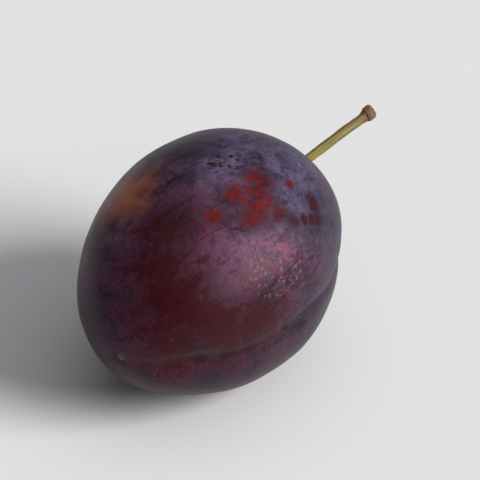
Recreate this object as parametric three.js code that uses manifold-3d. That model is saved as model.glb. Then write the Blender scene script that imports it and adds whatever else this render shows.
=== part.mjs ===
// A prune plum as picked: one ripe fruit lying on its cheek, with its stem still in the stem end.
//
// Millimetres, +Z up. The origin is the middle of the small flat spot that the fruit rests on. +X runs to
// the stem end. The suture, the shallow seam down one side of the fruit, is on the -Y side.

import * as THREE from "three";
import { mergeVertices } from "three/addons/utils/BufferGeometryUtils.js";
import Module from "manifold-3d";

const wasm = await Module();
wasm.setup();

// The fruit's body, along and across its own axis.
const fruitLength = 49.3; // end to end, before the hollow lowers the stem end
const fruitWidth = 39.8; // from the suture to the back, before the shelf beside the suture
const fruitThickness = 37; // from cheek to cheek
const stemEndFullness = 0.08; // how much broader the stem end is than the blossom end
const bow = 0.8; // the middle stands out on the suture side, so the back is the straighter side
const lowerCheekSwell = 0.01; // the lower cheek is a little fuller than the upper one
const tipLength = 1; // the low point that the blossom end is drawn out into
const tipSharpness = 9;

// The hollow round the stem, and the suture that runs from it to the blossom end.
const hollowDepth = 3.4;
const hollowRadius = 4;
const sutureDepth = 0.7;
const sutureDepthAtHollow = 0.9;
const sutureDeepensWithin = 9; // of the fruit's axis, towards the hollow
const sutureHalfWidth = 1.5;
const shelfDepth = 1.85; // the cheeks flatten towards the suture over this shelf
const shelfAngle = 0.475;
const shelfFadesWithin = 13; // of the fruit's axis, so that both ends stay round

// How the fruit lies. Its blossom end hangs a little, and the suture is rolled a little below the middle.
// A soft spot on the lower cheek bears the weight.
const stemEndRise = THREE.MathUtils.degToRad(3.5);
const sutureRoll = THREE.MathUtils.degToRad(6);
const spotDepth = 0.4; // how far the cheek is pressed flat

// The stem: a thin stalk with a swollen foot set in the fruit, and a woody collar where it left the twig.
const stemRadius = 0.75;
const stemFootRadius = 1.25;
const stemFootSpread = 1.8;
const stemFootSunk = 1.3; // how deep the foot is set below the floor of the hollow
const socketGap = 0.3; // the clearance round and under the foot
const socketMouth = 1; // how far the space round the foot is cleared above the floor
const stemCollarRadius = 1.3;
const stemCollarSpread = 1.2;
const stemCollarFromEnd = 1.3;
const stemRoute = [
  [0, 0, 0],
  [3, -0.1, 0],
  [8, -0.6, -0.1],
  [14, -1.5, -0.1],
  [20, -2.7, 0.1],
  [24.6, -3.7, 0.5],
]; // from the floor of the hollow, in the fruit's own axes

// How finely the surfaces are cut into faces.
const fruitMeridians = 84;
const fruitRings = 34;
const ringCrowding = 0.3; // draws the rings together at the stem end, for the hollow
const meridianCrowding = 0.45; // draws the meridians together at the suture, for the groove
const stemSides = 12;
const stemSteps = 34;
const weldDistance = 1e-4; // vertices nearer than this are one vertex
const flatTolerance = 1e-3; // a vertex nearer than this to the surface lies on it

// A closed three.js geometry as a solid that can be cut.
function solidFrom(geometry) {
  const bare = geometry.clone().deleteAttribute("normal").deleteAttribute("uv");
  const merged = mergeVertices(bare, weldDistance);
  const mesh = new wasm.Mesh({
    numProp: 3,
    vertProperties: new Float32Array(merged.attributes.position.array),
    triVerts: new Uint32Array(merged.index.array),
  });
  return new wasm.Manifold(mesh);
}

// A cut solid as a three.js geometry again.
function geometryFrom(solid) {
  const mesh = solid.getMesh();
  const geometry = new THREE.BufferGeometry();
  geometry.setAttribute("position", new THREE.BufferAttribute(mesh.vertProperties, 3));
  geometry.setIndex(new THREE.BufferAttribute(mesh.triVerts, 1));
  geometry.computeVertexNormals();
  return geometry;
}

// Moves every vertex of a geometry to where move(x, y, z) says.
function reshape(geometry, move) {
  const place = geometry.attributes.position;
  for (let i = 0; i < place.count; i++) {
    place.setXYZ(i, ...move(place.getX(i), place.getY(i), place.getZ(i)));
  }
  return geometry;
}

// 1 at distance 0, falling away evenly on both sides over about the given spread.
function hill(distance, spread) {
  return Math.exp(-((distance / spread) ** 2));
}

// One point of the skin, in the fruit's own axes, with the origin in the middle of the fruit.
// polar is 0 at the stem end and PI at the blossom end. turn is 0 at the suture, PI / 2 on the upper cheek
// and PI at the back.
function skinPoint(polar, turn) {
  const along = Math.cos(polar);
  const girth = Math.sin(polar) * (1 + stemEndFullness * along);
  const meanRadius = (girth * (fruitWidth + fruitThickness)) / 4;
  const tip = tipLength * ((1 - along) / 2) ** tipSharpness;
  const hollow = along > 0 ? hollowDepth * hill(meanRadius, hollowRadius) : 0;

  const offSuture = Math.atan2(Math.sin(turn), Math.cos(turn));
  const nearHollow = along > 0 ? hill(meanRadius, sutureDeepensWithin) : 0;
  const grooveDepth = THREE.MathUtils.lerp(sutureDepth, sutureDepthAtHollow, nearHollow);
  const grooveShare = THREE.MathUtils.smoothstep(meanRadius, 0, hollowRadius);
  const groove = grooveDepth * grooveShare * hill(offSuture * meanRadius, sutureHalfWidth);
  const shelfShare = THREE.MathUtils.smoothstep(meanRadius, 0, shelfFadesWithin);
  const shelf = shelfDepth * shelfShare * hill(offSuture, shelfAngle);
  const inset = groove + shelf;

  const across = (fruitWidth / 2) * girth - inset;
  const upright = (fruitThickness / 2) * girth * (1 - lowerCheekSwell * Math.sin(turn)) - inset;
  return [
    (fruitLength / 2) * along - tip - hollow,
    -across * Math.cos(turn) - bow * Math.sin(polar) ** 2,
    upright * Math.sin(turn),
  ];
}

// The fruit before anything is cut from it: a ball whose vertices are moved to the skin. The rings are
// drawn together at the stem end, for the hollow, and the meridians at the suture, for the groove.
function makeFruitBody() {
  const ball = new THREE.SphereGeometry(1, fruitMeridians, fruitRings);
  return reshape(ball, (x, y, z) => {
    const evenPolar = Math.acos(THREE.MathUtils.clamp(y, -1, 1));
    const evenTurn = Math.atan2(z, x);
    const polar = evenPolar - ringCrowding * Math.sin(evenPolar);
    const turn = evenTurn - meridianCrowding * Math.sin(evenTurn);
    return skinPoint(polar, turn);
  });
}

// The stem: a lathe of its outline, radius against length, bent along its route. It starts at the foot's
// sunk end, in the fruit's own axes.
function makeStem(floorOfHollow) {
  const points = stemRoute.map(([x, y, z]) => new THREE.Vector3(floorOfHollow + x, y, z));
  points.unshift(new THREE.Vector3(floorOfHollow - stemFootSunk, 0, 0));
  const route = new THREE.CatmullRomCurve3(points);
  const length = route.getLength();

  const outline = [new THREE.Vector2(0, 0)];
  for (let step = 0; step <= stemSteps; step++) {
    const at = (length * step) / stemSteps;
    const foot = (stemFootRadius - stemRadius) * hill(Math.max(at - stemFootSunk, 0), stemFootSpread);
    const toCollar = at - (length - stemCollarFromEnd);
    const collar = (stemCollarRadius - stemRadius) * hill(toCollar, stemCollarSpread);
    outline.push(new THREE.Vector2(stemRadius + foot + collar, at));
  }
  outline.push(new THREE.Vector2(0, length));

  const straight = new THREE.LatheGeometry(outline, stemSides);
  const up = new THREE.Vector3(0, 0, 1);
  return reshape(straight, (x, y, z) => {
    const share = THREE.MathUtils.clamp(y / length, 0, 1);
    const tangent = route.getTangentAt(share);
    const side = new THREE.Vector3().crossVectors(tangent, up).normalize();
    const top = new THREE.Vector3().crossVectors(side, tangent);
    const place = route.getPointAt(share).addScaledVector(side, x).addScaledVector(top, z);
    return [place.x, place.y, place.z];
  });
}

// The socket that the stem's foot is set in: a plain hole, a little wider and deeper than the foot.
function makeStemSocket(floorOfHollow) {
  const radius = stemFootRadius + socketGap;
  const depth = stemFootSunk + socketGap;
  const hole = new THREE.CylinderGeometry(radius, radius, depth + socketMouth, 2 * stemSides);
  hole.rotateZ(Math.PI / 2);
  hole.translate(floorOfHollow + (socketMouth - depth) / 2, 0, 0);
  return hole;
}

const [floorOfHollow] = skinPoint(0, 0);
const lie = new THREE.Matrix4().makeRotationY(-stemEndRise);
lie.multiply(new THREE.Matrix4().makeRotationX(sutureRoll));
const body = makeFruitBody().applyMatrix4(lie);
body.computeBoundingBox();

// The lower cheek is pressed flat where the fruit lies on the surface.
const surface = body.boundingBox.min.z + spotDepth;
const slabSize = 2 * fruitLength;
const slab = new THREE.BoxGeometry(slabSize, slabSize, slabSize).translate(0, 0, surface - slabSize / 2);
const socket = makeStemSocket(floorOfHollow).applyMatrix4(lie);
const fruitGeometry = geometryFrom(solidFrom(body).subtract(solidFrom(socket)).subtract(solidFrom(slab)));

// The middle of that spot becomes the origin.
const spot = new THREE.Box3();
const corner = new THREE.Vector3();
const fruitCorners = fruitGeometry.attributes.position;
for (let i = 0; i < fruitCorners.count; i++) {
  corner.fromBufferAttribute(fruitCorners, i);
  if (corner.z < surface + flatTolerance) spot.expandByPoint(corner);
}
const spotMiddle = spot.getCenter(new THREE.Vector3());
const toOrigin = new THREE.Matrix4().makeTranslation(-spotMiddle.x, -spotMiddle.y, -surface);

const skin = new THREE.MeshStandardMaterial({ color: "#3a2233", roughness: 0.45, metalness: 0 });
const fruit = new THREE.Mesh(fruitGeometry.applyMatrix4(toOrigin), skin);
fruit.name = "fruit";

const green = new THREE.MeshStandardMaterial({ color: "#7f7630", roughness: 0.7, metalness: 0 });
const stem = new THREE.Mesh(makeStem(floorOfHollow).applyMatrix4(lie).applyMatrix4(toOrigin), green);
stem.name = "stem";

const plum = new THREE.Group();
plum.name = "plum";
plum.add(fruit, stem);

export default plum;
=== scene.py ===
import math

import bpy
import numpy as np
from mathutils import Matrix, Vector


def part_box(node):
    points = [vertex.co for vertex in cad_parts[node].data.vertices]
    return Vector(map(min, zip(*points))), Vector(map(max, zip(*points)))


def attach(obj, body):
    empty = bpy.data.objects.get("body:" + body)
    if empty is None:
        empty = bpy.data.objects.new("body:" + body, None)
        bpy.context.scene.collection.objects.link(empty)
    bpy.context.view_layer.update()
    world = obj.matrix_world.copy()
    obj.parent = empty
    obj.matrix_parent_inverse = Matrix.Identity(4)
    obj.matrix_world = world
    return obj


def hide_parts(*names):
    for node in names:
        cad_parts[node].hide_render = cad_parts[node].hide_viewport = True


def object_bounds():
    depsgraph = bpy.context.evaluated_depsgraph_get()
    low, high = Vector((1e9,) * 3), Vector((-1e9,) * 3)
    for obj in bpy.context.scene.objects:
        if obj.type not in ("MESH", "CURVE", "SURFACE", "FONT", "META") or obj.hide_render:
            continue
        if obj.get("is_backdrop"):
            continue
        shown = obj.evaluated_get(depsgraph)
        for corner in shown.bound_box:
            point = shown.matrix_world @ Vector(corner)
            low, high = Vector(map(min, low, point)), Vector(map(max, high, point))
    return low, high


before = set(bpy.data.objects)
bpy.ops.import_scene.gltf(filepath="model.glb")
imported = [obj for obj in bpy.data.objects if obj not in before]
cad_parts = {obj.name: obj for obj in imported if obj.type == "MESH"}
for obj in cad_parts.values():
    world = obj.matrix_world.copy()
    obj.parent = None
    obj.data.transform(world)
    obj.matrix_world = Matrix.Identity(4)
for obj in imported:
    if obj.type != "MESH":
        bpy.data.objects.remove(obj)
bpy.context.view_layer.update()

# The fruit. One ripe prune plum, grown as a single piece: a thin tight skin, dark wine to nearly black, over
# firm flesh, under a grey-blue waxy bloom that is rubbed away in spots where it was handled. It lies on its
# lower cheek, which gives a little under its weight.

MM = 0.001

# The body, as in the solid. Millimetres, in the fruit's own axes: x to the stem end, -y to the suture.
fruit_length = 49.3
fruit_width = 39.8
fruit_thickness = 37.0
stem_end_fullness = 0.08
bow = 0.8
lower_cheek_swell = 0.01
tip_length = 1.0
tip_sharpness = 9
hollow_depth = 3.4
hollow_radius = 4.0
suture_depth = 0.7
suture_depth_at_hollow = 0.9
suture_deepens_within = 9.0
suture_half_width = 1.5
shelf_depth = 1.85
shelf_angle = 0.475
shelf_fades_within = 13.0
stem_end_rise = math.radians(3.5)
suture_roll = math.radians(6)

# The finer forms of the skin.
socket_depth = 1.6
socket_floor_radius = 1.4
socket_rim_radius = 1.95
pucker_depth = 0.07
pucker_middle = 3.0
pucker_spread = 1.5
pucker_folds = [(1.0, 9, 0.7), (0.6, 14, 2.1), (0.4, 23, 4.0)]  # share, folds round the stem, start
scar_radius = 0.9
scar_depth = 0.28
scar_point_radius = 0.3
scar_point_height = 0.22
flat_spot_softness = 0.16
lump_sizes = [(0.075, 12, 3), (0.02, 4.5, 8), (0.006, 1.9, 21)]  # height, distance apart, seed
lumps_full_radius = 6.0  # the lumps fade away from here to the rim of the socket
knock_marks = [
    (81, 94, 2.6, 0.12),
    (63, 150, 4.0, 0.16),
    (118, 205, 3.2, 0.14),
    (70, 300, 3.6, 0.15),
    (128, 128, 3.0, 0.1),
]  # degrees from the stem end, degrees round from the suture, radius, depth
seam_wander = [(0.2, 4.3, 1.0), (0.12, 1.7, 0.0)]  # how far to the side, over what length, start
seam_strength = 0.9
seam_strength_wave = (0.2, 3.1, 2.0)  # by how much the strength changes, over what length, start

# How finely the mesh is cut.
rings = 218
meridians = 400
ring_crowding = 0.5
meridian_crowding = 0.35


def hill(distance, spread):
    """1 at distance 0, falling away evenly on both sides over about that spread."""
    return np.exp(-((distance / spread) ** 2))


def ease(value, low, high):
    """0 up to low, 1 from high on, and smooth between them."""
    share = np.clip((value - low) / (high - low), 0, 1)
    return share * share * (3 - 2 * share)


def plain_skin(polar, turn):
    """A point of the smooth skin. polar is 0 at the stem end. turn is 0 at the suture and grows upwards."""
    along = np.cos(polar)
    stem_half = along > 0
    girth = np.sin(polar) * (1 + stem_end_fullness * along)
    mean_radius = girth * (fruit_width + fruit_thickness) / 4
    tip = tip_length * ((1 - along) / 2) ** tip_sharpness
    hollow = np.where(stem_half, hollow_depth * hill(mean_radius, hollow_radius), 0)

    off_suture = np.arctan2(np.sin(turn), np.cos(turn))
    near_hollow = np.where(stem_half, hill(mean_radius, suture_deepens_within), 0)
    groove_depth = suture_depth + (suture_depth_at_hollow - suture_depth) * near_hollow
    groove_share = ease(mean_radius, 0, hollow_radius)
    groove = groove_depth * groove_share * hill(off_suture * mean_radius, suture_half_width)
    shelf = shelf_depth * ease(mean_radius, 0, shelf_fades_within) * hill(off_suture, shelf_angle)
    inset = groove + shelf

    across = fruit_width / 2 * girth - inset
    upright = fruit_thickness / 2 * girth * (1 - lower_cheek_swell * np.sin(turn)) - inset
    return np.stack(
        [
            fruit_length / 2 * along - tip - hollow,
            -across * np.cos(turn) - bow * np.sin(polar) ** 2,
            upright * np.sin(turn),
        ],
        axis=-1,
    )


def skin_mark(stem_end_degrees, suture_degrees):
    """The place of a mark that is given in degrees from the stem end and round from the suture."""
    return plain_skin(math.radians(stem_end_degrees), math.radians(suture_degrees))


def lie_down(places):
    """Turns the fruit's own axes to the way that it lies: rolled about its length, stem end raised."""
    x, y, z = places[..., 0], places[..., 1], places[..., 2]
    c, s = math.cos(suture_roll), math.sin(suture_roll)
    y, z = y * c - z * s, y * s + z * c
    c, s = math.cos(stem_end_rise), math.sin(stem_end_rise)
    return np.stack([x * c - z * s, y, x * s + z * c], axis=-1)


def unevenness(places, distance, seed, waves=14):
    """Gentle lumps, about -1 to 1 and mostly small: waves of one length that cross in drawn directions."""
    draw = np.random.default_rng(seed)
    ways = draw.normal(size=(waves, 3))
    ways /= np.linalg.norm(ways, axis=1, keepdims=True)
    starts = draw.uniform(0, 2 * math.pi, waves)
    return np.cos(places @ ways.T * (2 * math.pi / distance) + starts).sum(-1) / math.sqrt(2 * waves)


def lumps_of(places, sizes):
    """Lumps of several sizes together. Each size is a height, a distance apart and a seed."""
    return sum(height * unevenness(places, distance, seed) for height, distance, seed in sizes)


def outward(grid):
    """The direction out of the skin at each point of a ring by meridian grid."""
    down = np.gradient(grid, axis=0)
    wrapped = np.concatenate([grid[:, -1:], grid, grid[:, :1]], axis=1)
    round_way = (wrapped[:, 2:] - wrapped[:, :-2]) / 2
    normals = np.cross(round_way, down)
    normals /= np.linalg.norm(normals, axis=-1, keepdims=True)
    middle = grid.reshape(-1, 3).mean(0)
    facing = ((grid - middle) * normals).sum(-1).mean()
    return normals if facing > 0 else -normals


def ring_faces(ring_count, side_count):
    """Faces of a closed skin of rings. The two end points come after the rings' vertices."""
    first, last = ring_count * side_count, ring_count * side_count + 1
    side = np.arange(side_count)
    following = (side + 1) % side_count
    starts = (np.arange(ring_count - 1) * side_count)[:, None]
    quads = np.stack(
        [starts + side, starts + following, starts + side_count + following, starts + side_count + side],
        axis=-1,
    )
    end = (ring_count - 1) * side_count
    first_fan = np.stack([np.full(side_count, first), following, side], axis=-1)
    last_fan = np.stack([np.full(side_count, last), end + side, end + following], axis=-1)
    return quads.reshape(-1, 4).tolist() + first_fan.tolist() + last_fan.tolist()


def make_piece(name, places, faces, attributes):
    """A smooth-shaded mesh object from places in metres, with its named values at each vertex."""
    mesh = bpy.data.meshes.new(name)
    mesh.from_pydata(places.tolist(), [], faces)
    mesh.polygons.foreach_set("use_smooth", np.ones(len(faces), bool))
    for label, (kind, field, values) in attributes.items():
        made = mesh.attributes.new(label, kind, "POINT")
        made.data.foreach_set(field, np.asarray(values, np.float32).ravel())
    mesh.validate()
    mesh.update()
    piece = bpy.data.objects.new(name, mesh)
    bpy.context.scene.collection.objects.link(piece)
    return piece


# The smooth skin. The rings are drawn together at both ends, and the meridians at the suture.
even_polar = np.linspace(0, math.pi, rings + 2)[1:-1]
even_turn = np.linspace(0, 2 * math.pi, meridians, endpoint=False)
ring_polar = even_polar - ring_crowding * np.sin(2 * even_polar) / 2
ring_turn = even_turn - meridian_crowding * np.sin(even_turn)
polar, turn = np.meshgrid(ring_polar, ring_turn, indexing="ij")
smooth = plain_skin(polar, turn)
along = smooth[..., 0]
from_axis = np.hypot(smooth[..., 1], smooth[..., 2])
at_stem_end = along > 0

# The skin rolls down into the socket that holds the stem's foot.
socket_share = 1 - ease(from_axis, socket_floor_radius, socket_rim_radius)
socket = np.where(at_stem_end, socket_depth * socket_share, 0)
# Fine radial folds where the skin draws in round the stem.
folds = sum(share * np.cos(count * turn + start) for share, count, start in pucker_folds)
puckers = pucker_depth * folds * hill(from_axis - pucker_middle, pucker_spread)
puckers = np.where(at_stem_end, puckers, 0)
# The corky point that the flower's style left in the middle of the blossom end.
scar_dip = scar_depth * hill(from_axis, scar_radius)
scar_point = scar_point_height * hill(from_axis, scar_point_radius)
scar = np.where(at_stem_end, 0, scar_point - scar_dip)
# Lumps of the flesh below the skin, and a few shallow knocks.
lumps = lumps_of(smooth, lump_sizes)
knocks = sum(
    depth * hill(np.linalg.norm(smooth - skin_mark(stem_end_degrees, suture_degrees), axis=-1), radius)
    for stem_end_degrees, suture_degrees, radius, depth in knock_marks
)
# The seam wanders a little from side to side, and is fainter in places.
from_seam = np.arctan2(np.sin(turn), np.cos(turn)) * from_axis
wander = sum(reach * np.sin(along / length + start) for reach, length, start in seam_wander)
change, length, start = seam_strength_wave
strength = seam_strength + change * np.sin(along / length + start)
seam = hill(from_seam, suture_half_width) - strength * hill(from_seam - wander, suture_half_width)
seam = suture_depth * ease(from_axis, 0, hollow_radius) * seam

relief = seam + (lumps - knocks) * ease(from_axis, socket_rim_radius, lumps_full_radius) + puckers
own = smooth + outward(smooth) * relief[..., None]
own[..., 0] -= socket
own[..., 0] -= scar
ends = plain_skin(np.array([0, math.pi]), np.array([0, 0]))
ends[0, 0] -= socket_depth
ends[1, 0] -= scar_point_height - scar_depth

# It lies where the solid lies, and its lower cheek flattens softly on the table.
low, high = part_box("fruit")
lying = lie_down(smooth)
lowest, highest = lying.reshape(-1, 3).min(0), lying.reshape(-1, 3).max(0)
to_place = np.array(
    [
        low.x / MM - lowest[0],
        (low.y + high.y) / 2 / MM - (lowest[1] + highest[1]) / 2,
        high.z / MM - highest[2],
    ]
)
fruit_places = lie_down(np.concatenate([own.reshape(-1, 3), ends])) + to_place
fruit_places[:, 2] = (fruit_places[:, 2] + np.hypot(fruit_places[:, 2], flat_spot_softness)) / 2
skin_places = np.concatenate([smooth.reshape(-1, 3), ends])
fruit = make_piece(
    "plum_fruit",
    fruit_places * MM,
    ring_faces(rings, meridians),
    {"skin_place": ("FLOAT_VECTOR", "vector", skin_places)},
)


def linear(red, green, blue):
    """A colour as seen on a screen, 0 to 255, as the shader's own values."""
    shares = np.array([red, green, blue]) / 255
    own_values = np.where(shares <= 0.04045, shares / 12.92, ((shares + 0.055) / 1.055) ** 2.4)
    return own_values.tolist() + [1]


def add_node(tree, kind, inputs=None, **settings):
    """Adds a node. Each input is named or numbered, and is another node's output or a value of its own."""
    node = tree.nodes.new(kind)
    for option, value in settings.items():
        setattr(node, option, value)
    for name, value in (inputs or {}).items():
        socket_in = node.inputs[name]
        if isinstance(value, bpy.types.NodeSocket):
            tree.links.new(value, socket_in)
        else:
            socket_in.default_value = value
    return node


def new_finish(name):
    """An empty material for a piece, and its node tree."""
    finish = bpy.data.materials.new(name)
    finish.use_nodes = True
    finish.node_tree.nodes.clear()
    return finish, finish.node_tree


def finish_surface(tree, inputs):
    """Ends a material in one shader with these inputs."""
    shader = add_node(tree, "ShaderNodeBsdfPrincipled", inputs)
    add_node(tree, "ShaderNodeOutputMaterial", {"Surface": shader.outputs[0]})


def mottle(
    tree,
    place,
    size,
    detail=2.0,
    roughness=0.5,
    stretch=(1, 1, 1),
    tilt=(0, 0, 0),
    shift=0.0,
    distortion=0.0,
):
    """Soft random patches of about that size in millimetres, from 0 to 1. Stretch and tilt make strokes."""
    tilted = add_node(
        tree,
        "ShaderNodeMapping",
        {"Vector": place, "Rotation": [math.radians(degrees) for degrees in tilt]},
    )
    scaled = add_node(
        tree,
        "ShaderNodeMapping",
        {
            "Vector": tilted.outputs[0],
            "Location": (shift, shift, shift),
            "Scale": [1 / (size * longer) for longer in stretch],
        },
    )
    texture = add_node(
        tree,
        "ShaderNodeTexNoise",
        {
            "Vector": scaled.outputs[0],
            "Scale": 1.0,
            "Detail": detail,
            "Roughness": roughness,
            "Distortion": distortion,
        },
    )
    return texture.outputs["Fac"]


def fade(tree, value, start, end, low=0.0, high=1.0):
    """low where value is at start, high where it is at end, and smooth between them."""
    node = add_node(
        tree,
        "ShaderNodeMapRange",
        {"Value": value, "From Min": start, "From Max": end, "To Min": low, "To Max": high},
        interpolation_type="SMOOTHSTEP",
    )
    return node.outputs["Result"]


def calc(tree, operation, first, second=0.0, third=0.0):
    """The result of one sum on shader values."""
    node = add_node(tree, "ShaderNodeMath", {0: first, 1: second, 2: third}, operation=operation)
    return node.outputs[0]


def times(tree, first, second):
    """Two shader values multiplied."""
    return calc(tree, "MULTIPLY", first, second)


def cover(tree, share, under, over):
    """The colour over laid on the colour under, as thickly as share says."""
    node = add_node(tree, "ShaderNodeMix", {0: share, 6: under, 7: over}, data_type="RGBA")
    return node.outputs[2]


def any_of(tree, shares):
    """The largest of several shader values."""
    most = shares[0]
    for share in shares[1:]:
        most = calc(tree, "MAXIMUM", most, share)
    return most


def patch(tree, place, marks, roughening, start, full):
    """1 on the marks and 0 away from them. Textures break up the edge: each comes with how far it moves it.

    A mark's middle counts as 1, its radius as 0 and what lies outside it as less. The patch starts where
    that is at start and has all its strength where it is at full.
    """
    closeness = []
    for stem_end_degrees, suture_degrees, radius in marks:
        centre = skin_mark(stem_end_degrees, suture_degrees).tolist()
        apart = add_node(tree, "ShaderNodeVectorMath", {0: place, 1: centre}, operation="DISTANCE")
        closeness.append(calc(tree, "MULTIPLY_ADD", apart.outputs["Value"], -1 / radius, 1.0))
    nearest = any_of(tree, closeness)
    for texture, reach in roughening:
        nearest = calc(tree, "MULTIPLY_ADD", texture, reach, nearest)
        nearest = calc(tree, "SUBTRACT", nearest, reach / 2)
    return fade(tree, nearest, start, full)


def speckle(tree, place, spacing, radius, share):
    """Small spots in millimetres, in only that share of the places where they could be."""
    cells = add_node(
        tree,
        "ShaderNodeTexVoronoi",
        {"Vector": place, "Scale": 1 / spacing, "Randomness": 1.0},
        feature="F1",
    )
    drawn = add_node(tree, "ShaderNodeSeparateColor", {0: cells.outputs["Color"]})
    # Each spot has a drawn size and a soft edge, and a draw says whether it is there.
    size = fade(tree, drawn.outputs[0], 0.0, 1.0, 0.4, 1.4)
    inside = calc(tree, "MULTIPLY_ADD", cells.outputs["Distance"], -spacing / radius, size)
    spot = fade(tree, inside, -0.25, 0.4)
    is_there = fade(tree, drawn.outputs[1], 1 - share - 0.1, 1 - share + 0.1)
    return times(tree, spot, is_there)


# Colours of the skin, and of the bloom on it.
black_skin = linear(20, 8, 15)
wine_skin = linear(50, 4, 10)
red_skin = linear(102, 17, 15)
warm_skin = linear(166, 90, 48)
blue_bloom = linear(122, 120, 160)
# The rose bloom is also the colour of the painted highlight on the cheek.
rose_bloom_and_highlight = linear(164, 95, 135)
pale_fleck = linear(186, 152, 122)
gold_fleck = linear(182, 132, 92)
# Cork: the blossom-end scar's own colour, and the socket's brown with its painted shade.
cork_and_socket_shade = linear(120, 92, 66)
sheen_tint = linear(190, 196, 224)

# How much of the skin the bloom covers before patches and strokes change it, and how the surface shines.
bloom_at_blossom_end = 0.13
bloom_at_stem_end = 0.175
bare_roughness = 0.38
bloom_roughness = 0.5
skin_shine = 0.145
skin_grain_depth = 0.03

# Marks on the skin: degrees from the stem end, degrees round from the suture, and radius in millimetres.
rubbed_marks = [
    (92, 68, 3.1),
    (87, 72, 2.4),
    (81, 76, 2.6),
    (92, 80, 2.1),
    (105, 80, 1.8),
    (97, 66, 1.8),
    (87, 58, 1.9),
    (85, 52, 1.6),
    (72, 64, 0.9),
    (80, 48, 1.0),
    (77, 45, 1.1),
    (74, 43, 1.2),
    (71, 47, 1.1),
    (69, 51, 1.4),
    (98, 213, 1.0),
    (90, 222, 0.9),
    (58, 170, 1.6),
    (75, 290, 1.9),
    (66, 330, 1.4),
]
# Worn marks, where the bloom is worn off the wine skin. Those near the suture below the cheek are a painted
# shadow: a darker band that stands in for a cast shadow.
worn_and_shadow_marks = [
    (118, 20, 8.0),
    (131, 29, 9.0),
    (140, 62, 9.0),
    (132, 88, 7.0),
    (118, 96, 6.0),
    (150, 30, 8.0),
    (115, 255, 9.0),
    (140, 200, 7.0),
]
warm_marks = [(102, 134, 8.0), (108, 130, 6.5)]
fleck_marks = [(104, 41, 6.0), (98, 34, 5.0)]
# Thick bloom. The first mark, on the cheek, is a painted highlight: its thicker bloom brightens the place
# where the window's highlight falls.
thick_bloom_and_highlight_marks = [
    (110, 50, 11.0),
    (114, 66, 5.0),
    (82, 92, 6.0),
    (68, 100, 6.0),
    (62, 60, 8.0),
    (124, 118, 9.0),
]
# Painted highlight: these marks thicken the bloom and turn it rose where the window's highlight falls on the
# cheek, so that it is brighter there.
painted_highlight_marks = [(102, 45, 7.5), (114, 45, 7.0)]
# Thin bloom. Partly painted shade: the marks near the suture on the stem half thin the bloom so that this
# side is darker.
thin_bloom_and_shade_marks = [
    (75, 5, 12.0),
    (60, 0, 10.0),
    (56, 40, 8.0),
    (84, 345, 11.0),
    (70, 120, 8.0),
    (88, 30, 6.5),
]
seam_marks = [(104, 5, 1.8), (111, 4, 2.2), (119, 3, 1.6), (127, 3, 2.4), (140, 3, 2.0), (92, 4, 1.2)]
stipple_marks = [(81, 94, 4.2)]

skin, tree = new_finish("plum_skin")
place = add_node(tree, "ShaderNodeAttribute", attribute_name="skin_place").outputs["Vector"]
own_axes = add_node(tree, "ShaderNodeSeparateXYZ", {0: place})
to_stem_end, from_suture, upwards = own_axes.outputs["X"], own_axes.outputs["Y"], own_axes.outputs["Z"]
crosswise = add_node(tree, "ShaderNodeVectorMath", {0: place, 1: (0, 1, 1)}, operation="MULTIPLY")
off_axis = add_node(tree, "ShaderNodeVectorMath", {0: crosswise.outputs["Vector"]}, operation="LENGTH")
off_axis = off_axis.outputs["Value"]

# Soft random patches of several sizes, which the layers below share.
broad = mottle(tree, place, 13, detail=3.0, shift=4.0)
middling = mottle(tree, place, 4.5, detail=3.0, roughness=0.55, tilt=(30, 20, 50), shift=9.0, distortion=0.4)
fine = mottle(tree, place, 1.5, detail=4.0, roughness=0.65, tilt=(20, 35, 10), distortion=0.7)
grain = mottle(tree, place, 0.35, detail=2.0, roughness=0.7)

# The marks' patches: where the bloom was rubbed off in spots or worn off, with a painted shadow among the
# worn ones; where it lies thick or thin, with a painted highlight among the thick ones and painted shade
# among the thin ones; where a painted highlight turns it rose; where the skin is warm; and where it is
# flecked.
rubbed = patch(tree, place, rubbed_marks, [(fine, 3.4), (grain, 1.6)], start=-0.3, full=0.75)
worn_and_shadow = patch(tree, place, worn_and_shadow_marks, [(middling, 2.2), (fine, 2.6)], start=-0.3, full=0.9)
warmth = patch(tree, place, warm_marks, [(middling, 0.9), (fine, 0.7)], start=-0.1, full=1.1)
thick_bloom_and_highlight = patch(tree, place, thick_bloom_and_highlight_marks, [(middling, 1.2), (fine, 0.5)], start=-0.3, full=0.9)
thin_bloom_and_shade = patch(tree, place, thin_bloom_and_shade_marks, [(middling, 1.2), (fine, 0.7)], start=-0.2, full=0.9)
painted_highlight = patch(tree, place, painted_highlight_marks, [(middling, 0.8), (fine, 0.8)], start=0.0, full=0.8)
seam_spots = patch(tree, place, seam_marks, [(fine, 3.5)], start=0.0, full=0.6)
flecked = patch(tree, place, fleck_marks, [(fine, 1.5)], start=-0.1, full=0.6)
stippled = patch(tree, place, stipple_marks, [(fine, 0.8)], start=0.0, full=0.4)
bare = calc(tree, "MAXIMUM", rubbed, seam_spots)

# Small spots: dark ones in the stippled bloom, golden flecks, and lenticels, the pale dots that the skin
# breathes through. The first two are pushed about, so that they bunch and stretch.
push = add_node(tree, "ShaderNodeTexNoise", {"Vector": place, "Scale": 1.6, "Detail": 2.0})
pushed_place = add_node(
    tree,
    "ShaderNodeVectorMath",
    {0: push.outputs["Color"], 1: (0.7, 0.7, 0.7), 2: place},
    operation="MULTIPLY_ADD",
).outputs[0]
stipple = times(tree, stippled, speckle(tree, pushed_place, spacing=1.1, radius=0.5, share=0.8))
flecks = times(tree, flecked, speckle(tree, pushed_place, spacing=0.62, radius=0.2, share=0.8))
pores = speckle(tree, place, spacing=1.7, radius=0.13, share=0.75)

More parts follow.
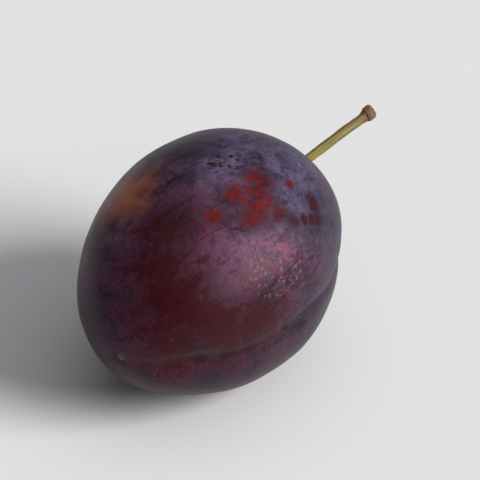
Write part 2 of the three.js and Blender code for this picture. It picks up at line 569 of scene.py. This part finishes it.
# The skin itself: nearly black at the back, wine red on the cheek and on the worn marks, some of which are a
# painted shadow, and warmer in patches.
redness = calc(tree, "MULTIPLY_ADD", broad, 0.7, times(tree, middling, 0.5))
redness = calc(tree, "MULTIPLY_ADD", worn_and_shadow, 0.25, redness)
skin_colour = cover(tree, fade(tree, redness, 0.45, 0.85), black_skin, wine_skin)
skin_colour = cover(tree, times(tree, warmth, 0.88), skin_colour, warm_skin)
# Rubbed spots are red on the upper cheek, and duller towards the suture, the back and the table.
rubbed_skin = cover(tree, fade(tree, fine, 0.56, 0.36, 0.0, 0.7), red_skin, wine_skin)
rubbed_skin = cover(tree, fade(tree, from_suture, -8.5, -13.0, 0.0, 0.75), rubbed_skin, black_skin)
rubbed_skin = cover(tree, fade(tree, from_suture, 1.0, 8.0, 0.0, 0.85), rubbed_skin, wine_skin)
rubbed_skin = cover(tree, fade(tree, upwards, 4.0, -4.0, 0.0, 0.7), rubbed_skin, wine_skin)
rubbed_share = times(tree, rubbed, fade(tree, grain, 0.35, 0.6, 0.62, 0.92))
skin_colour = cover(tree, rubbed_share, skin_colour, rubbed_skin)

# The bloom: thicker to the stem end, thinner to the blossom end, cloudy, finely grained.
bloom = fade(tree, to_stem_end, -24.0, 14.0, bloom_at_blossom_end, bloom_at_stem_end)
for texture, start, end, least, most in [
    (middling, 0.3, 0.7, 0.65, 1.35),
    (fine, 0.33, 0.67, 0.68, 1.32),
    (grain, 0.25, 0.75, 0.7, 1.3),
    (broad, 0.3, 0.7, 0.75, 1.25),
]:
    bloom = times(tree, bloom, fade(tree, texture, start, end, least, most))
# Strokes where leaves and fingers wiped it, and hair-thin scratches. left is the bloom that stays in them.
for size, longer, tilt, start, end, left in [
    (1.3, 6, (0, 15, 25), 0.58, 0.64, 0.5),
    (0.9, 8, (40, 0, 115), 0.6, 0.66, 0.55),
    (0.16, 32, (10, 30, -20), 0.66, 0.7, 0.45),
    (0.14, 40, (70, 10, 60), 0.67, 0.71, 0.5),
]:
    strokes = mottle(tree, place, size, stretch=(longer, 1, 1), tilt=tilt, shift=size * 7, distortion=0.15)
    bloom = times(tree, bloom, fade(tree, strokes, start, end, 1.0, left))
# What each kind of patch adds to the bloom, or takes away, as a share of it.
for kind, change in [
    (thick_bloom_and_highlight, 0.6),
    (thin_bloom_and_shade, -0.45),
    (painted_highlight, 0.5),
    (stipple, -0.9),
    (bare, -0.93),
    (worn_and_shadow, -0.92),
    (warmth, -0.55),
]:
    bloom = times(tree, bloom, calc(tree, "MULTIPLY_ADD", kind, change, 1.0))
# Painted shade: the bloom is thinned on the lower half, towards the table, so that the lower side is darker.
bloom = times(tree, bloom, fade(tree, upwards, 1.0, -5.0, 1.0, 0.62))
# The bloom turns rose towards the blossom end, and on the painted highlight's marks on the cheek.
rosy_and_highlight_share = any_of(tree, [fade(tree, to_stem_end, 5.0, -9.0, 0.0, 0.7), times(tree, painted_highlight, 0.95)])
colour = cover(tree, bloom, skin_colour, cover(tree, rosy_and_highlight_share, blue_bloom, rose_bloom_and_highlight))
colour = cover(tree, times(tree, pores, 0.13), colour, pale_fleck)
colour = cover(tree, times(tree, flecks, 0.25), colour, gold_fleck)

# The socket is painted brown and darker inside, partly as painted shade, and the scar at the blossom end is
# corky.
socket_brown_and_shade = times(tree, fade(tree, off_axis, 1.5, 2.3, 1.0, 0.0), fade(tree, to_stem_end, 0.0, 2.0))
on_scar = times(tree, fade(tree, off_axis, 0.25, 0.75, 1.0, 0.0), fade(tree, to_stem_end, 0.0, -2.0))
colour = cover(tree, times(tree, any_of(tree, [socket_brown_and_shade, on_scar]), 0.8), colour, cork_and_socket_shade)

# A fine grain in relief, with the lenticels sunk in it.
height = calc(tree, "MULTIPLY_ADD", grain, 0.35, times(tree, fine, 0.65))
height = calc(tree, "SUBTRACT", height, times(tree, pores, 0.6))
bump = add_node(
    tree,
    "ShaderNodeBump",
    {"Strength": 0.5, "Distance": skin_grain_depth * MM, "Height": height},
)
finish_surface(
    tree,
    {
        "Base Color": colour,
        "Roughness": fade(tree, bloom, 0.01, 0.25, bare_roughness, bloom_roughness),
        "Normal": bump.outputs["Normal"],
        "Specular IOR Level": skin_shine,
        "Sheen Weight": 0.02,
        "Sheen Roughness": 0.5,
        "Sheen Tint": sheen_tint,
    },
)
fruit.data.materials.append(skin)
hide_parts("fruit")
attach(fruit, "root")

# The stem. The thin green stalk that the fruit hung by, woody and a little ribbed, with a flared foot seated
# in the fruit's hollow. It came off the twig at its swollen brown collar, which ends in a slanting scar.

# The stalk, as in the solid. Millimetres, from the floor of the hollow.
stem_radius = 0.75
stem_foot_radius = 1.25
stem_foot_spread = 1.8
stem_foot_sunk = 1.3
stem_collar_radius = 1.3
stem_collar_spread = 1.2
stem_collar_from_end = 1.3
stem_reach = 24.6
route_along = [0, 3, 8, 14, 20, stem_reach]
route_sideways = [0, -0.1, -0.6, -1.5, -2.7, -3.7]
route_upward = [0, 0, -0.1, -0.1, 0.1, 0.5]

# The finer forms of the stalk.
collar_bluntness = 2.4  # the collar's spread between its middle and the broken end
sunk_line_bend = 0.3  # how much of the route's bend is left below the floor of the hollow
end_rounding = 0.4
end_face_share = 0.84  # the end faces' radius beside the stalk's
scar_cup_depth = 0.16
slant_size = 0.8
slant_setback = 0.6
slant_reach = 3.4
slant_turn = math.radians(49)
stem_ribs = [(0.035, 7, 0.12, 0.0), (0.015, 12, -0.3, 1.0)]  # height, ribs round the stalk, twist, start
ribs_at_ends = 0.35
ribs_fade_at_foot = (2, 6)
ribs_fade_at_end = (1.5, 4)
lump_round = 1.2  # the radius at which the stalk's lumps are spread round it
stalk_lumps = [(0.03, 4.2, 5), (0.016, 1.6, 6)]
collar_knobbles = [(0.12, 2.1, 12), (0.06, 0.9, 13)]
knobbly_from_end = (1.5, 4.0)  # knobbly up to the first of these, smooth from the second on
crease_depth = 0.12
crease_from_end = 2.45
crease_spread = 0.22
crease_change = 0.3  # by how much the crease's depth changes round the stalk
bract_scar_along = 8.2
bract_scar_height = 0.13
bract_scar_spread = 0.5
bract_scar_turn = 1.9

# How finely its mesh is cut.
stem_sides = 64
stem_steps = 230
step_crowding = 0.3  # draws the steps together at both ends
end_face_rings = 7
route_samples = 900

# The stalk's line from the floor of the hollow: nearly straight out, then drooping to one side.
sideways = np.polyfit(route_along, route_sideways, 3)
upward = np.polyfit(route_along, route_upward, 3)
samples = np.linspace(-stem_foot_sunk, stem_reach, route_samples)
line = np.stack([samples, np.polyval(sideways, samples), np.polyval(upward, samples)], axis=-1)
line[samples < 0, 1:] *= sunk_line_bend
run = np.concatenate([[0], np.cumsum(np.linalg.norm(np.diff(line, axis=0), axis=1))])
stem_length = run[-1]
even_steps = np.linspace(0, stem_length, stem_steps)
crowded_steps = stem_length * (1 - np.cos(np.linspace(0, math.pi, stem_steps))) / 2
at = (1 - step_crowding) * even_steps + step_crowding * crowded_steps
centres = np.stack([np.interp(at, run, line[:, k]) for k in range(3)], axis=-1)
tangents = np.gradient(centres, at, axis=0)
tangents /= np.linalg.norm(tangents, axis=-1, keepdims=True)
sides = np.cross(tangents, [0, 0, 1])
sides /= np.linalg.norm(sides, axis=-1, keepdims=True)
tops = np.cross(sides, tangents)

# Its thickness. The sides are counted clockwise, so that the faces look outwards.
angle = -np.linspace(0, 2 * math.pi, stem_sides, endpoint=False)
at_grid, angle_grid = np.meshgrid(at, angle, indexing="ij")
to_end = stem_length - at_grid
foot = (stem_foot_radius - stem_radius) * hill(np.maximum(at_grid - stem_foot_sunk, 0), stem_foot_spread)
past_collar = at_grid - (stem_length - stem_collar_from_end)
collar_spread = np.where(past_collar > 0, collar_bluntness, stem_collar_spread)
collar = (stem_collar_radius - stem_radius) * hill(past_collar, collar_spread)
ribs = sum(
    height * np.cos(count * angle_grid + twist * at_grid + start)
    for height, count, twist, start in stem_ribs
)
rib_share = ease(at_grid, *ribs_fade_at_foot) * ease(to_end, *ribs_fade_at_end)
ribs = ribs * (ribs_at_ends + (1 - ribs_at_ends) * rib_share)
round_stalk = [at_grid, lump_round * np.cos(angle_grid), lump_round * np.sin(angle_grid)]
round_stalk = np.stack(round_stalk, axis=-1)
thickness = stem_radius + foot + collar + ribs + lumps_of(round_stalk, stalk_lumps)
# A small scale scar a third of the way up, where a bract sat.
bract_side = (1 + np.cos(angle_grid - bract_scar_turn)) / 2
thickness = thickness + bract_scar_height * hill(at_grid - bract_scar_along, bract_scar_spread) * bract_side
# The collar is woody: knobbly, with a crease where it grew against the twig.
knobbles = (1 - ease(to_end, *knobbly_from_end)) * lumps_of(round_stalk, collar_knobbles)
crease = crease_depth * hill(to_end - crease_from_end, crease_spread)
crease = crease * (1 - crease_change * (1 - np.cos(angle_grid)))
thickness = thickness + knobbles - crease
# Both ends close over a rounded edge.
edge = np.clip(np.minimum(at_grid, to_end) / end_rounding, 0, 1)
thickness = thickness * (end_face_share + (1 - end_face_share) * np.sqrt(1 - (1 - edge) ** 2))
own_stem = (
    centres[:, None]
    + sides[:, None] * (thickness * np.cos(angle_grid))[..., None]
    + tops[:, None] * (thickness * np.sin(angle_grid))[..., None]
)
# The free end broke off the twig at a slant.
slant = -slant_size * (np.cos(angle_grid - slant_turn) + slant_setback) * thickness
slant = slant * ease(at_grid, stem_length - slant_reach, stem_length)
own_stem = own_stem + tangents[:, None] * slant[..., None]

# The two end faces: rings that run in to a middle point. The scar at the free end is slightly cupped.
shares = np.linspace(1, 0, end_face_rings + 1)[1:-1]
foot_face = [centres[0] + (own_stem[0] - centres[0]) * share for share in shares[::-1]]
scar_middle = own_stem[-1].mean(0)
scar_face = [
    scar_middle + (own_stem[-1] - scar_middle) * share - tangents[-1] * scar_cup_depth * (1 - share**2)
    for share in shares
]
grid = np.concatenate([foot_face, own_stem, scar_face])
stem_ends = np.array([centres[0], scar_middle - tangents[-1] * scar_cup_depth])
floor_of_hollow = plain_skin(0.0, 0.0)[0]
own_all = np.concatenate([grid.reshape(-1, 3), stem_ends]) + [floor_of_hollow, 0, 0]

# Where each vertex is on the stalk, for its material: along it, round it, and how far out on an end face.
along_rings = np.concatenate([np.zeros(len(foot_face)), at, np.full(len(scar_face), stem_length)])
along_all = np.concatenate([np.repeat(along_rings, stem_sides), [0, stem_length]])
round_all = np.concatenate([np.tile(angle, len(along_rings)), [0, 0]])
face_share = np.concatenate([np.ones(len(foot_face) + len(at)), shares])
face_all = np.concatenate([np.repeat(face_share, stem_sides), [1, 0]])
stalk_place = np.stack([along_all, np.cos(round_all), np.sin(round_all)], axis=-1)
stem = make_piece(
    "plum_stem",
    (lie_down(own_all) + to_place) * MM,
    ring_faces(len(grid), stem_sides),
    {
        "stalk_place": ("FLOAT_VECTOR", "vector", stalk_place),
        "face_share": ("FLOAT", "value", face_all),
    },
)

stem_green = linear(134, 118, 56)
stem_deep_green = linear(90, 82, 36)
stem_brown = linear(104, 66, 34)
stem_dark = linear(58, 36, 24)
stem_scar = linear(108, 82, 70)
stalk_grain_depth = 0.06

stalk, tree = new_finish("plum_stalk")
place = add_node(tree, "ShaderNodeAttribute", attribute_name="stalk_place").outputs["Vector"]
share = add_node(tree, "ShaderNodeAttribute", attribute_name="face_share").outputs["Fac"]
up_stalk = add_node(tree, "ShaderNodeSeparateXYZ", {0: place}).outputs["X"]
fibres = mottle(tree, place, 0.28, detail=3.0, roughness=0.6, stretch=(12, 1, 1))
blotches = mottle(tree, place, 1.3, detail=3.0, stretch=(1.6, 0.7, 0.7), shift=5.0)
specks = mottle(tree, place, 0.22, detail=2.0, stretch=(1.6, 1, 1), shift=11.0)
colour = cover(tree, fade(tree, fibres, 0.3, 0.7), stem_deep_green, stem_green)
# It turns brown at the woody collar, a little at the foot, and in blotches.
brownness = fade(tree, up_stalk, stem_length - 5.5, stem_length - 1.2)
brownness = any_of(tree, [brownness, fade(tree, up_stalk, 5.0, 2.2, 0.0, 0.6)])
brownness = calc(tree, "MULTIPLY_ADD", fade(tree, blotches, 0.5, 0.75), 0.45, brownness)
colour = cover(tree, calc(tree, "MINIMUM", brownness, 0.92), colour, stem_brown)
colour = cover(tree, fade(tree, specks, 0.66, 0.74, 0.0, 0.6), colour, stem_dark)
# The scar is paler and mottled, and dark in its middle.
scar_edge = calc(tree, "MULTIPLY_ADD", specks, 0.9, up_stalk)
scar_colour = cover(tree, fade(tree, specks, 0.4, 0.62), stem_scar, stem_brown)
colour = cover(tree, fade(tree, scar_edge, stem_length - 0.7, stem_length - 0.3), colour, scar_colour)
colour = cover(tree, fade(tree, share, 0.35, 0.1, 0.0, 0.5), colour, stem_dark)
height = calc(tree, "MULTIPLY_ADD", specks, 0.4, times(tree, fibres, 0.6))
bump = add_node(
    tree,
    "ShaderNodeBump",
    {"Strength": 0.7, "Distance": stalk_grain_depth * MM, "Height": height},
)
finish_surface(
    tree,
    {
        "Base Color": colour,
        "Roughness": fade(tree, fibres, 0.3, 0.7, 0.62, 0.5),
        "Normal": bump.outputs["Normal"],
        "Specular IOR Level": 0.4,
    },
)
stem.data.materials.append(stalk)
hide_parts("stem")
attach(stem, "root")

# The studio. A plain pale paper table, one large soft window low on one side, and a dim even room. The
# window and the ceiling light are far, wide lamps, so that their shadows are soft.

table_half_size = 7.0  # metres, so that its edge is never seen
table_shape = [(-1, -1), (1, -1), (1, 1), (-1, 1)]
paper_shade = (0.79, 0.79, 0.8, 1)
paper_light = (0.81, 0.81, 0.82, 1)

table_mesh = bpy.data.meshes.new("table")
table_corners = [(x * table_half_size, y * table_half_size, 0) for x, y in table_shape]
table_mesh.from_pydata(table_corners, [], [(0, 1, 2, 3)])
table = bpy.data.objects.new("table", table_mesh)
bpy.context.scene.collection.objects.link(table)
paper, tree = new_finish("pale_table")
place = add_node(tree, "ShaderNodeTexCoord").outputs["Object"]
tooth = add_node(tree, "ShaderNodeTexNoise", {"Vector": place, "Scale": 900.0, "Detail": 2.0})
finish_surface(
    tree,
    {
        "Base Color": cover(tree, tooth.outputs["Fac"], paper_shade, paper_light),
        "Roughness": 0.8,
        "Specular IOR Level": 0.2,
    },
)
table_mesh.materials.append(paper)
table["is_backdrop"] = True


def away_from(azimuth, elevation):
    """The direction from a far point to the object. Azimuth 0 is on the -Y side and 90 on the +X side."""
    round_way, rise = math.radians(azimuth), math.radians(elevation)
    return Vector(
        (-math.sin(round_way) * math.cos(rise), math.cos(round_way) * math.cos(rise), -math.sin(rise))
    )


def hold(name, data, direction):
    """An object that holds a lamp or a camera and looks in that direction."""
    holder = bpy.data.objects.new(name, data)
    holder.rotation_mode = "QUATERNION"
    holder.rotation_quaternion = direction.to_track_quat("-Z", "Y")
    bpy.context.scene.collection.objects.link(holder)
    return holder


def soft_light(name, strength, width, azimuth, elevation, colour):
    """Light from a far source that is so many degrees wide."""
    lamp = bpy.data.lights.new(name, "SUN")
    lamp.energy = strength
    lamp.angle = math.radians(width)
    lamp.color = colour
    hold(name, lamp, away_from(azimuth, elevation))


soft_light("window", strength=3.95, width=34, azimuth=9, elevation=31, colour=(1.0, 0.985, 0.97))
soft_light("ceiling", strength=0.64, width=75, azimuth=60, elevation=75, colour=(0.96, 0.98, 1.0))

# The room is dim, so that the window does the lighting, but the wall behind the table is seen as pale.
room_light = 0.13
wall_as_seen = 0.72
room = bpy.data.worlds.new("pale_room")
room.use_nodes = True
tree = room.node_tree
tree.nodes.clear()
seen = add_node(tree, "ShaderNodeLightPath").outputs["Is Camera Ray"]
glow = add_node(tree, "ShaderNodeMapRange", {"Value": seen, "To Min": room_light, "To Max": wall_as_seen})
air = add_node(
    tree,
    "ShaderNodeBackground",
    {"Color": (0.95, 0.97, 1.0, 1), "Strength": glow.outputs["Result"]},
)
add_node(tree, "ShaderNodeOutputWorld", {"Surface": air.outputs[0]})
bpy.context.scene.world = room
bpy.context.scene.view_settings.view_transform = "Standard"

# The camera looks at the fruit from the photograph's own side and height, in degrees and metres.
camera_azimuth = -58.8
camera_elevation = 37.3
camera_distance = 0.85
looked_at = Vector((7 * MM, 0, 18 * MM))
eye = bpy.data.cameras.new("camera")
eye.sensor_width = 36
eye.lens = 405
eye.clip_start = 0.01
eye.clip_end = 20
view_direction = away_from(camera_azimuth, camera_elevation)
camera = hold("camera", eye, view_direction)
camera.location = looked_at - view_direction * camera_distance
bpy.context.scene.camera = camera

low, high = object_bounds()
